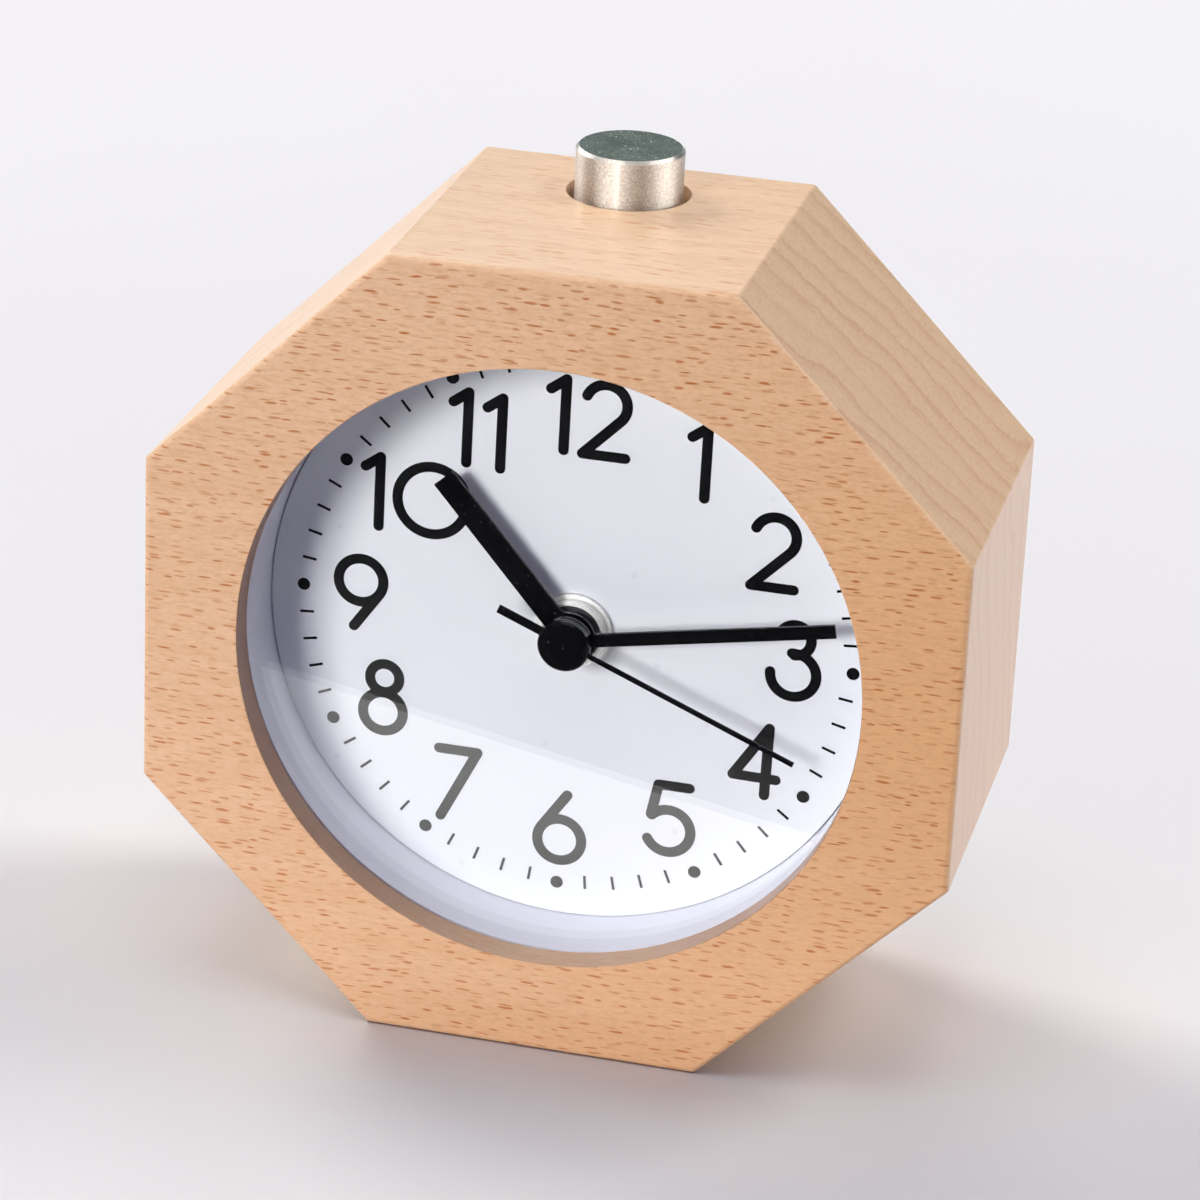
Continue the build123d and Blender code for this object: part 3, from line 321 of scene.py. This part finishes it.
def moulded(name, colour, darker, low_rough, high_rough, grain, bump):
    """Moulded plastic with a fine skin."""
    paint = Paint(name)
    cloud = paint.noise(paint.stretched(0.08, 0.08, 0.08), detail=3.0)
    skin = paint.noise(paint.stretched(grain, grain, grain), detail=2.0)
    shade = paint.ramp(cloud, (0.3, darker), (0.7, colour))
    return paint.finish(Base_Color=shade, Roughness=paint.span(cloud, low_rough, high_rough),
                        Normal=paint.bump(skin, bump, 0.02))


def dial_white():
    """Smooth white card with a faint tooth."""
    paint = Paint("dial_white")
    cloud = paint.noise(paint.stretched(0.04, 0.04, 0.04), detail=2.0)
    tooth = paint.noise(paint.stretched(6, 6, 6), detail=2.0)
    shade = paint.ramp(cloud, (0.3, linear(236, 238, 241)), (0.7, linear(241, 243, 245)))
    specks = wear_specks(paint, 3.0, 0.12)
    shade = paint.mix(paint.math("MULTIPLY", specks, 0.25), shade, linear(205, 205, 215))
    return paint.finish(Base_Color=shade, Roughness=paint.span(tooth, 0.42, 0.55), Specular_IOR_Level=0.15,
                        Normal=paint.bump(tooth, 0.05, 0.01))


def black_lacquer(name, rough, speck_share):
    paint = Paint(name)
    cloud = paint.noise(paint.stretched(0.6, 0.6, 0.6), detail=3.0)
    specks = paint.math("MULTIPLY", wear_specks(paint, 0.55, speck_share), cloud)
    shade = paint.mix(specks, linear(8, 8, 10), linear(120, 118, 116))
    return paint.finish(Base_Color=shade, Roughness=paint.span(cloud, rough, rough + 0.06), Specular_IOR_Level=0.3)


def turned_metal(name, colour, darker, rough, line_axis, spread, end_rough):
    """Metal with fine turning lines round one axis, which draw its highlights out across them."""
    paint = Paint(name)
    rates = [0.25, 0.25, 0.25]
    rates[line_axis] = 22.0
    lines = paint.noise(paint.stretched(*rates), detail=3.0, roughness=0.7)
    grit = paint.noise(paint.stretched(4.5, 4.5, 4.5), detail=3.0, roughness=0.75)
    end = paint.between(paint.facing(line_axis), 0.9, 0.99)
    grain = paint.math("MULTIPLY_ADD", lines, 0.35, paint.math("MULTIPLY", grit, 0.65))
    shade = paint.ramp(grain, (0.4, darker), (0.6, colour))
    # Painted glints: bright spots in the grit of the sides, and bright specks on the end face, are painted into the
    # base colour
    glints_and_specks = paint.math("MULTIPLY", paint.between(grit, 0.58, 0.68), paint.span(end, 0.8, 0.3))
    glints_and_specks = paint.math("MAXIMUM", glints_and_specks, paint.math("MULTIPLY", wear_specks(paint, 0.8, 0.5), end))
    shade = paint.mix(glints_and_specks, shade, linear(248, 247, 245))
    side_rough = paint.span(lines, rough, rough + 0.12)
    roughness = paint.math("MULTIPLY", side_rough, paint.span(end, 1.0, end_rough))
    roughness = paint.math("MULTIPLY_ADD", glints_and_specks, 0.3, roughness)
    height = paint.math("MULTIPLY", paint.math("ADD", lines, grit), paint.span(end, 1.0, 0.15))
    around = paint.add("Tangent", direction_type="RADIAL", axis="XYZ"[line_axis]).outputs[0]
    return paint.finish(Base_Color=shade, Metallic=1.0, Roughness=roughness, Anisotropic=spread,
                        Anisotropic_Rotation=0.25, Tangent=around, Normal=paint.bump(height, 0.7, 0.05))


def plain_metal(name, colour, darker, rough):
    paint = Paint(name)
    lines = paint.noise(paint.stretched(0.6, 0.6, 9), detail=3.0)
    shade = paint.ramp(lines, (0.3, darker), (0.7, colour))
    return paint.finish(Base_Color=shade, Metallic=1.0, Roughness=paint.span(lines, rough, rough + 0.15),
                        Normal=paint.bump(lines, 0.1, 0.01))


def coil_copper():
    """Enamelled wire wound in close turns."""
    paint = Paint("coil_copper")
    height = paint.add("SeparateXYZ", {0: paint.stretched(1, 1, 1)}).outputs[2]
    turn = paint.math("SINE", paint.math("MULTIPLY", height, 2 * math.pi / 0.16))
    cloud = paint.noise(paint.stretched(0.5, 0.5, 2), detail=2.0)
    shade = paint.ramp(cloud, (0.3, linear(140, 72, 36)), (0.7, linear(186, 104, 58)))
    return paint.finish(Base_Color=shade, Metallic=1.0, Roughness=paint.span(cloud, 0.28, 0.4),
                        Normal=paint.bump(turn, 0.5, 0.03))


def board_green():
    """Varnished board with the faint weave and traces under it."""
    paint = Paint("board_green")
    weave = paint.noise(paint.stretched(2.2, 2.2, 2.2), detail=1.0)
    traces = paint.noise(paint.stretched(0.16, 0.16, 0.16), detail=0.0)
    line = paint.between(paint.math("ABSOLUTE", paint.math("SUBTRACT", traces, 0.5)), 0.03, 0.02)
    shade = paint.ramp(weave, (0.3, linear(32, 88, 52)), (0.7, linear(42, 108, 64)))
    shade = paint.mix(paint.math("MULTIPLY", line, 0.6), shade, linear(74, 140, 84))
    return paint.finish(Base_Color=shade, Roughness=paint.span(weave, 0.28, 0.4),
                        Normal=paint.bump(weave, 0.1, 0.02))


def cell_jacket():
    """Plain dry cell: bare steel ends and a dark printed sleeve."""
    paint = Paint("cell_jacket")
    cloud = paint.noise(paint.stretched(0.3, 0.3, 0.3), detail=2.0)
    along = paint.add("SeparateXYZ", {0: paint.stretched(1, 1, 1)}).outputs[0]
    end = paint.between(paint.facing(0), 0.4, 0.7)
    cap = paint.between(along, 14.0, 14.3)
    sleeve = paint.mix(cap, linear(46, 48, 52), linear(176, 122, 74))
    shade = paint.mix(end, sleeve, linear(190, 190, 188))
    return paint.finish(Base_Color=shade, Metallic=0.8, Roughness=paint.span(cloud, 0.28, 0.42))


def washer_rubber():
    paint = Paint("washer_rubber")
    dust = paint.noise(paint.stretched(2, 2, 2), detail=3.0)
    shade = paint.ramp(dust, (0.3, linear(26, 26, 27)), (0.7, linear(40, 40, 41)))
    return paint.finish(Base_Color=shade, Roughness=paint.span(dust, 0.7, 0.85),
                        Normal=paint.bump(dust, 0.2, 0.02))


materials = {
    "beech": beech(),
    "clear_glass": clear_glass(),
    "white_plastic": moulded("white_plastic", linear(229, 230, 238), linear(224, 225, 233), 0.09, 0.16, 0.8, 0.02),
    "dial_white": dial_white(),
    "hand_black": black_lacquer("hand_black", 0.08, 0.35),
    "bright_steel": turned_metal("bright_steel", linear(222, 221, 218), linear(200, 199, 196), 0.5, 1, 0.3, 1.1),
    "button_nickel": turned_metal("button_nickel", linear(243, 237, 229), linear(200, 190, 178), 0.34, 2, 0.92, 0.22),
    "black_plastic": moulded("black_plastic", linear(34, 34, 36), linear(27, 27, 29), 0.42, 0.58, 5.0, 0.2),
    "grey_plastic": moulded("grey_plastic", linear(66, 67, 70), linear(56, 57, 60), 0.4, 0.55, 4.0, 0.12),
    "plate_plastic": moulded("plate_plastic", linear(218, 213, 200), linear(206, 200, 186), 0.35, 0.5, 3.0, 0.08),
    "gear_plastic": moulded("gear_plastic", linear(236, 232, 220), linear(226, 221, 206), 0.22, 0.34, 2.0, 0.05),
    "spring_steel": plain_metal("spring_steel", linear(206, 207, 208), linear(168, 169, 171), 0.2),
    "stator_iron": plain_metal("stator_iron", linear(132, 133, 136), linear(104, 105, 108), 0.35),
    "coil_copper": coil_copper(),
    "board_green": board_green(),
    "cell_jacket": cell_jacket(),
    "washer_rubber": washer_rubber(),
}
print_black = black_lacquer("print_black", 0.16, 0.05)


def dress(obj, material):
    obj.data.materials.clear()
    obj.data.materials.append(material)


for row in frame["record"]["subparts"]:
    dress(nodes[row["node"]], materials[row["material_slot"]])

# Light passes the lens on its way to the dial and back
nodes["glass_lens"].visible_shadow = False
nodes["glass_lens"].visible_diffuse = False


def new_piece(name, bm, material):
    """A mesh object from a drawn mesh, which is used up."""
    mesh = bpy.data.meshes.new(name)
    bmesh.ops.recalc_face_normals(bm, faces=bm.faces)
    bm.to_mesh(mesh)
    bm.free()
    obj = bpy.data.objects.new(name, mesh)
    bpy.context.scene.collection.objects.link(obj)
    mesh.materials.append(material)
    return obj


def on_dial(x, y, height):
    """A point of the dial's print, with its height above the dial."""
    return Vector((x, dial_front - height, dial_middle + y)) * MM


def prism(bm, outline):
    """A thin raised patch of print with the given outline."""
    top = [bm.verts.new(on_dial(x, y, print_height)) for x, y in outline]
    low = [bm.verts.new(on_dial(x, y, -print_sink)) for x, y in outline]
    bm.faces.new(top)
    bm.faces.new(low[::-1])
    for here in range(len(outline)):
        after = (here + 1) % len(outline)
        bm.faces.new((top[here], low[here], low[after], top[after]))


def ring_prism(bm, centre, radius, width):
    """A thin raised ring of print."""
    steps = round(360 / arc_step)
    loops = []
    for reach, height in ((radius + width / 2, print_height), (radius - width / 2, print_height),
                          (radius - width / 2, -print_sink), (radius + width / 2, -print_sink)):
        spots = arc(*centre, reach, 0, 360, steps)[:-1]
        loops.append([bm.verts.new(on_dial(x, y, height)) for x, y in spots])
    for first, second in zip(loops, loops[1:] + loops[:1]):
        for here in range(steps):
            after = (here + 1) % steps
            bm.faces.new((first[here], first[after], second[after], second[here]))


def arc(x, y, radius, start, end, steps=None):
    """Points along an arc between two angles."""
    steps = steps or max(2, round(abs(end - start) / arc_step))
    angles = [math.radians(start + (end - start) * step / steps) for step in range(steps + 1)]
    return [(x + radius * math.cos(angle), y + radius * math.sin(angle)) for angle in angles]


def touching(point, centre, radius, side):
    """Angle on a circle where a line from a point touches it."""
    away = (point[0] - centre[0], point[1] - centre[1])
    middle = math.atan2(away[1], away[0])
    return math.degrees(middle + side * math.acos(radius / math.hypot(*away)))


def stroke_outline(line, width):
    """Outline of a pen stroke with round ends and round corners along a line of points."""
    half = width / 2
    there = one_side(line, half)
    back = one_side(line[::-1], half)
    return there + round_turn(line[-1], line[-2], half) + back + round_turn(line[0], line[1], half)


def heading(start, end):
    return math.degrees(math.atan2(end[1] - start[1], end[0] - start[0]))


def round_turn(tip, before, half):
    """Half circle round the end of a stroke, without its two end points."""
    ahead = heading(before, tip)
    return arc(*tip, half, ahead + 90, ahead - 90, round_end_steps)[1:-1]


def one_side(line, half):
    """The left edge of a stroke."""
    edge = arc(*line[0], half, heading(*line[:2]) + 90, heading(*line[:2]) + 90, 1)[:1]
    for before, here, after in zip(line, line[1:], line[2:]):
        first, second = heading(before, here), heading(here, after)
        turn = (second - first + 180) % 360 - 180
        if turn < -arc_step * 2:
            steps = max(2, round(-turn / arc_step))
            edge += arc(*here, half, first + 90, first + 90 + turn, steps)
        else:
            reach = half / math.cos(math.radians(turn / 2))
            edge += arc(*here, reach, first + 90 + turn / 2, first + 90 + turn / 2, 1)[:1]
    last = heading(*line[-2:]) + 90
    return edge + arc(*line[-1], half, last, last, 1)[:1]


def one(x, y, height=8.1):
    """The figure 1 with the top of its stem at a place."""
    return [("line", [(x - 1.7, y - 1.25), (x, y), (x - 0.08, y - height)])]


def two(x, y):
    """The figure 2 from its lower left corner."""
    centre, radius = (x + 2.45, y + 5.8), 2.32
    end = touching((x, y), centre, radius, 1)
    bowl = arc(*centre, radius, 158, end if end < 0 else end - 360)
    return [("line", bowl + [(x, y), (x + 4.75, y)])]


figures = {
    "figure_12": one(-2.1, 28.65) + two(-0.1, 20.45),
    "figure_1": one(13.6, 25.2),
    "figure_2": two(19.1, 7.9),
    "figure_3": [("line", arc(24.4, 2.15, 1.78, 168, -90)),
                 ("line", arc(24.4, -1.95, 2.55, 96, -182))],
    "figure_4": [("line", [(22.02, -16.7), (22.2, -8.65)]),
                 ("line", [(22.2, -8.65), (18.4, -14.65), (23.2, -14.7)])],
    "figure_5": [("line", [(13.7, -17.2), (10.2, -17.2), (9.5, -20.9)]),
                 ("line", arc(11.5, -22.7, 2.56, 138, -153))],
    "figure_6": [("ring", (-0.76, -25.7), 2.52),
                 ("line", [(-0.05, -20.15), arc(-0.76, -25.7, 2.52, 150, 150, 1)[0]])],
    "figure_7": [("line", [(-14.9, -16.6), (-10.5, -16.6), (-14.5, -24.8)])],
    "figure_8": [("ring", (-21.4, -9.1), 1.68), ("ring", (-21.5, -13.2), 2.3)],
    "figure_9": [("ring", (-24.4, 2.2), 2.56),
                 ("line", [(-25.1, -3.3), arc(-24.4, 2.2, 2.56, -30, -30, 1)[0]])],
    "figure_10": one(-22.5, 17.0) + [("ring", (-16.6, 12.7), 3.92)],
    "figure_11": one(-12.85, 25.75) + one(-9.05, 25.55),
}


def stroke_mesh(stroke):
    """One stroke of a figure as a drawn mesh of its own."""
    bm = bmesh.new()
    if stroke[0] == "ring":
        ring_prism(bm, stroke[1], stroke[2], figure_stroke)
    else:
        prism(bm, stroke_outline(stroke[1], figure_stroke))
    return bm


def draw_figure(name, strokes):
    """A figure of the dial, its crossing strokes joined into one solid."""
    whole = new_piece(name, stroke_mesh(strokes[0]), print_black)
    for number, stroke in enumerate(strokes[1:]):
        other = new_piece(f"{name}_stroke_{number}", stroke_mesh(stroke), print_black)
        joining = whole.modifiers.new("join", "BOOLEAN")
        joining.operation = "UNION"
        joining.object = other
        joined = bpy.data.meshes.new_from_object(whole.evaluated_get(bpy.context.evaluated_depsgraph_get()))
        whole.modifiers.clear()
        whole.data = joined
        bpy.data.objects.remove(other)
    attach(whole, "case")


for name, strokes in figures.items():
    draw_figure(name, strokes)


def clock_point(radius, turn):
    """A point on the dial by its distance from the middle and its angle clockwise from twelve."""
    angle = math.radians(turn)
    return (radius * math.sin(angle), radius * math.cos(angle))


def draw_dots():
    bm = bmesh.new()
    for hour in range(hours):
        x, y = clock_point(dot_circle_radius, 360 / hours * hour + print_twist)
        prism(bm, arc(x, y, dot_radius, 360, 0, 28)[:-1])
    return new_piece("hour_dots", bm, print_black)


def draw_ticks():
    bm = bmesh.new()
    for minute in range(hours * ticks_per_hour):
        if minute % ticks_per_hour == 0:
            continue
        turn = 360 / (hours * ticks_per_hour) * minute + print_twist
        inner, outer = clock_point(tick_inner_radius, turn), clock_point(tick_outer_radius, turn)
        aside = clock_point(tick_width / 2, turn + 90)
        corners = [(inner, -1), (outer, -1), (outer, 1), (inner, 1)]
        prism(bm, [(x + side * aside[0], y + side * aside[1]) for (x, y), side in corners])
    return new_piece("minute_strokes", bm, print_black)


for marks in (draw_dots(), draw_ticks()):
    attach(marks, "case")


def draw_spring():
    """Coil spring under the button, its ends closed up against the seats."""
    low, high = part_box("button_spring")
    middle = Vector(((low.x + high.x) / 2, (low.y + high.y) / 2, 0)) / MM
    start, rise = low.z / MM + spring_wire_radius, (high.z - low.z) / MM - 2 * spring_wire_radius
    steps = spring_turns * spring_steps_per_turn
    bm = bmesh.new()
    rings = []
    for step in range(steps + 1):
        share = step / steps
        angle = 2 * math.pi * spring_turns * share
        outward = Vector((math.cos(angle), math.sin(angle), 0))
        centre = middle + outward * spring_radius + Vector((0, 0, start + rise * share))
        sides = [2 * math.pi * side / spring_sides for side in range(spring_sides)]
        spots = [centre + (outward * math.cos(a) + Vector((0, 0, math.sin(a)))) * spring_wire_radius for a in sides]
        rings.append([bm.verts.new(spot * MM) for spot in spots])
    for first, second in zip(rings, rings[1:]):
        for side in range(spring_sides):
            after = (side + 1) % spring_sides
            bm.faces.new((first[side], second[side], second[after], first[after]))
    bm.faces.new(rings[0])
    bm.faces.new(rings[-1][::-1])
    for face in bm.faces:
        face.smooth = True
    coil = new_piece("return_spring", bm, materials["spring_steel"])
    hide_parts("button_spring")
    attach(coil, "case")
    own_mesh(coil)


draw_spring()


def table_top():
    """Pale table that the clock stands on."""
    paint = Paint("pale_table")
    cloud = paint.noise(paint.stretched(0.004, 0.004, 0.004), detail=2.0)
    tooth = paint.noise(paint.stretched(1.2, 1.2, 1.2), detail=2.0)
    shade = paint.ramp(cloud, (0.3, linear(232, 228, 221)), (0.7, linear(236, 233, 226)))
    material = paint.finish(Base_Color=shade, Roughness=paint.span(tooth, 0.5, 0.62), Specular_IOR_Level=0.0,
                            Normal=paint.bump(tooth, 0.03, 0.02))
    bm = bmesh.new()
    bmesh.ops.create_grid(bm, x_segments=floor_steps, y_segments=floor_steps, size=floor_half * MM)
    obj = new_piece("table_top", bm, material)
    return obj


table = table_top()


def light_group(name, state, *objects):
    """What a lamp lights: only these objects, or all but these."""
    group = bpy.data.collections.new(name)
    for obj in objects:
        group.objects.link(obj)
    for entry in group.collection_objects:
        entry.light_linking.link_state = state
    return group


off_table = light_group("off_table", "EXCLUDE", table)
off_wood = light_group("off_wood", "EXCLUDE", table, nodes["wooden_case"])
on_button = light_group("on_button", "INCLUDE", nodes["button_cap"])


def studio_piece(name, bm, front, clear=None):
    """A stage piece with its own shader, clear where the share says so; nothing throws a shadow from it."""
    material = bpy.data.materials.new(name)
    material.use_nodes = True
    tree = material.node_tree
    tree.nodes.clear()
    output = tree.nodes.new("ShaderNodeOutputMaterial")
    shader = tree.nodes.new("ShaderNodeEmission")
    shader.inputs["Color"].default_value = front
    surface = shader.outputs[0]
    if clear:
        mix = tree.nodes.new("ShaderNodeMixShader")
        tree.links.new(clear(tree), mix.inputs[0])
        tree.links.new(surface, mix.inputs[1])
        tree.links.new(tree.nodes.new("ShaderNodeBsdfTransparent").outputs[0], mix.inputs[2])
        surface = mix.outputs[0]
    tree.links.new(surface, output.inputs["Surface"])
    obj = new_piece(name, bm, material)
    obj.visible_shadow = False
    return obj


def flat_card(corners):
    bm = bmesh.new()
    bm.faces.new([bm.verts.new(Vector(corner) * MM) for corner in corners])
    return bm


def card(name, corners, colour):
    """A studio card that shows only in shiny surfaces."""
    obj = studio_piece(name, flat_card(corners), colour)
    obj.visible_camera = obj.visible_diffuse = False


def flag(name, corners):
    """A black card on the table that keeps its light off the clock; from below it is clear."""
    def from_below(tree):
        return tree.nodes.new("ShaderNodeNewGeometry").outputs["Backfacing"]
    obj = studio_piece(name, flat_card(corners), (0.01, 0.01, 0.01, 1.0), from_below)
    obj.visible_camera = obj.visible_glossy = obj.visible_transmission = False


def backdrop():
    """A pale dome and a pale haze over the far table, only looked at, and a grey room for shiny surfaces."""
    def near(tree):
        place = tree.nodes.new("ShaderNodeTexCoord").outputs["Object"]
        away = tree.nodes.new("ShaderNodeVectorMath")
        away.operation = "LENGTH"
        tree.links.new(place, away.inputs[0])
        share = tree.nodes.new("ShaderNodeMapRange")
        share.interpolation_type = "SMOOTHSTEP"
        share.inputs["From Min"].default_value = haze_full * MM
        share.inputs["From Max"].default_value = haze_start * MM
        tree.links.new(away.outputs["Value"], share.inputs["Value"])
        return share.outputs["Result"]
    dome = bmesh.new()
    bmesh.ops.create_uvsphere(dome, u_segments=64, v_segments=32, radius=backdrop_radius * MM)
    reach = backdrop_radius
    haze = flat_card([(-reach, -reach, 1.0), (reach, -reach, 1.0), (reach, reach, 1.0), (-reach, reach, 1.0)])
    pieces = [studio_piece("backdrop", dome, backdrop_colour), studio_piece("haze", haze, backdrop_colour, near)]
    for obj in pieces:
        obj.visible_diffuse = obj.visible_glossy = obj.visible_transmission = False
    walls = bmesh.new()
    bmesh.ops.create_uvsphere(walls, u_segments=64, v_segments=32, radius=backdrop_radius * MM)
    room = studio_piece("room", walls, room_colour)
    room.visible_camera = room.visible_diffuse = room.visible_transmission = False


backdrop()
flag("front_flag", [(-500, -700, 0.2), (500, -700, 0.2), (500, -80, 0.2), (-500, -80, 0.2)])

# In front of the clock a bright card ends at a slanting edge, and a dark one goes on from there
card("bright_card", [(-160, -136.9, 0.6), (120, -37.1, 0.6), (120, -30, 0.6), (-160, -30, 0.6)],
     (1.75, 1.73, 1.7, 1.0))
card("dark_card", [(-500, -700, 0.4), (500, -700, 0.4), (120, -37.1, 0.4), (-160, -136.9, 0.4)],
     (0.01, 0.01, 0.012, 1.0))
card("back_card", [(-260, 420, 120), (120, 420, 120), (120, 420, 320), (-260, 420, 320)],
     (0.155, 0.21, 0.21, 1.0))
card("top_card", [(-250, -350, 620), (250, -350, 620), (250, 60, 620), (-250, 60, 620)],
     (1.2, 1.2, 1.2, 1.0))


def lamp(name, turn, height, distance, side, power, receivers=None):
    """A square soft box that faces the clock, placed by its angle from the front and its height."""
    data = bpy.data.lights.new(name, "AREA")
    data.shape = "SQUARE"
    data.size = side * MM
    data.energy = power
    across, up = math.radians(turn), math.radians(height)
    away = Vector((math.sin(across) * math.cos(up), -math.cos(across) * math.cos(up), math.sin(up)))
    obj = bpy.data.objects.new(name, data)
    obj.location = (Vector(case_middle) + away * distance) * MM
    obj.rotation_euler = (-away).to_track_quat("-Z", "Y").to_euler()
    obj.light_linking.receiver_collection = receivers
    bpy.context.scene.collection.objects.link(obj)
    return obj


lamp("key_light", -22.0, 15.0, 700, 220, 3.9, off_table).visible_glossy = False
lamp("key_shine", -22.0, 15.0, 700, 220, 3.9, off_wood).visible_diffuse = False
lamp("button_shine", -22.0, 15.0, 700, 220, 7.0, on_button).visible_diffuse = False
lamp("button_edge_shine", 92, 12, 900, 220, 2.0, on_button).visible_diffuse = False
lamp("left_light", -60, 40, 2700, 1200, 1.8)
lamp("left_back_light", -124, 34, 2700, 1200, 42.0)
lamp("right_light", 100, 7, 900, 390, 2.15, off_table)
lamp("high_right_light", 115, 50, 2700, 1000, 27.0)
lamp("low_back_light", -165, 20, 2700, 1170, 22.0)
lamp("top_light", -10, 80, 2700, 1500, 21.0)

world = bpy.data.worlds.new("studio")
bpy.context.scene.world = world
world.use_nodes = True
world.node_tree.nodes["Background"].inputs["Color"].default_value = (0.28, 0.36, 1.0, 1.0)
world.node_tree.nodes["Background"].inputs["Strength"].default_value = 0.2


def make_camera():
    data = bpy.data.cameras.new("camera")
    data.lens = camera_lens
    data.sensor_width = camera_sensor
    data.clip_start, data.clip_end = 0.01, 20.0
    camera = bpy.data.objects.new("camera", data)
    bpy.context.scene.collection.objects.link(camera)
    forward = Vector(camera_forward).normalized()
    level = forward.cross(Vector((0, 0, 1))).normalized()
    over = level.cross(forward)
    roll = math.radians(camera_roll)
    right = level * math.cos(roll) + over * math.sin(roll)
    up = over * math.cos(roll) - level * math.sin(roll)
    turn = Matrix((right, up, -forward)).transposed()
    camera.matrix_world = Matrix.Translation(Vector(camera_place) * MM) @ turn.to_4x4()
    bpy.context.scene.camera = camera


make_camera()
bpy.context.scene.view_settings.view_transform = "Standard"
